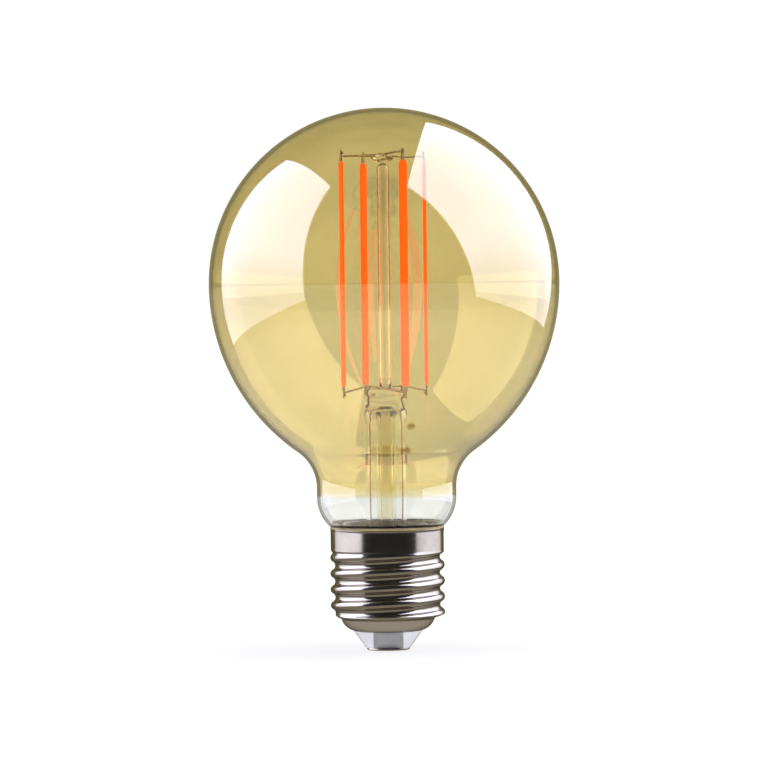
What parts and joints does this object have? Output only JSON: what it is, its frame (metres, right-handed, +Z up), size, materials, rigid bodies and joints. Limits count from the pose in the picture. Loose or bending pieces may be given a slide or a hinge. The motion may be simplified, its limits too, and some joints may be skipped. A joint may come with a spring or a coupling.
{
  "type": "smart light bulb",
  "caption": "Globe lamp with an amber-coated glass envelope, upright LED filaments round a glass post, and a screw cap that holds its driver and wireless module.",
  "frame": {"origin": "middle of the end contact's flat face, the lamp's lowest point", "axes": "+Z up the lamp's axis from the end contact to the top of the globe; +X towards the side with the rim solder; -Y towards the vent hole in the pinch"},
  "size_m": [0.08, 0.08, 0.1237],
  "materials": {
    "amber_glass": "gold-amber lacquer on clear blown glass, fading to clear at the neck",
    "clear_glass": "clear soda glass",
    "nickel_wire": "drawn nickel",
    "dumet": "oxidised copper-clad seal wire",
    "copper": "bare copper",
    "copper_tinned": "tinned copper wire",
    "shell_plating": "bright nickel plate on brass",
    "contact_plating": "bright nickel plate on brass",
    "cement": "yellowish cap cement",
    "insulator_ceramic": "glossy pale grey moulding",
    "wire_sleeve": "insulated wire",
    "solder": "soft solder",
    "liner_plastic": "natural white plastic",
    "board_laminate": "green solder mask",
    "module_laminate": "blue solder mask",
    "shield_metal": "tinned sheet",
    "chip_moulding": "black epoxy moulding",
    "antenna_gold": "gold-plated copper track",
    "capacitor_sleeve": "shrink sleeve",
    "ferrite": "sintered ferrite",
    "resistor_coat": "flameproof coating",
    "chip_ceramic": "sintered chip bodies",
    "carrier_ceramic": "translucent ceramic strip",
    "led_chip": "semiconductor chips",
    "phosphor": "orange phosphor in silicone"
  },
  "bodies": {
    "root": {"glass_envelope": "amber_glass", "flare_tube": "clear_glass", "pinch_press": "clear_glass", "exhaust_tube": "clear_glass", "centre_post": "clear_glass", "post_bead": "clear_glass", "top_support_outer": "nickel_wire", "top_support_inner": "nickel_wire", "bottom_arm_left": "nickel_wire", "bottom_arm_right": "nickel_wire", "inner_lead_left": "nickel_wire", "inner_lead_right": "nickel_wire", "dumet_seal_left": "dumet", "dumet_seal_right": "dumet", "outer_lead_left": "copper", "outer_lead_right": "copper", "screw_shell": "shell_plating", "neutral_wire": "copper_tinned", "cap_cement": "cement", "insulator": "insulator_ceramic", "end_contact": "contact_plating", "live_wire": "wire_sleeve", "contact_solder": "solder", "rim_solder": "solder", "insulating_liner": "liner_plastic", "driver_board": "board_laminate", "wireless_module_board": "module_laminate", "module_pins": "contact_plating", "wireless_shield_can": "shield_metal", "wireless_radio_chip": "chip_moulding", "wireless_antenna": "antenna_gold", "bulk_capacitor": "capacitor_sleeve", "choke_core": "ferrite", "choke_winding": "copper", "fusible_resistor": "resistor_coat", "driver_chip": "chip_moulding", "bridge_rectifier": "chip_moulding", "chip_components": "chip_ceramic", "filament_1_substrate": "carrier_ceramic", "filament_1_chips": "led_chip", "filament_1_phosphor": "phosphor", "filament_1_tabs": "nickel_wire", "filament_2_substrate": "carrier_ceramic", "filament_2_chips": "led_chip", "filament_2_phosphor": "phosphor", "filament_2_tabs": "nickel_wire", "filament_3_substrate": "carrier_ceramic", "filament_3_chips": "led_chip", "filament_3_phosphor": "phosphor", "filament_3_tabs": "nickel_wire", "filament_4_substrate": "carrier_ceramic", "filament_4_chips": "led_chip", "filament_4_phosphor": "phosphor", "filament_4_tabs": "nickel_wire"}
  },
  "joints": []
}
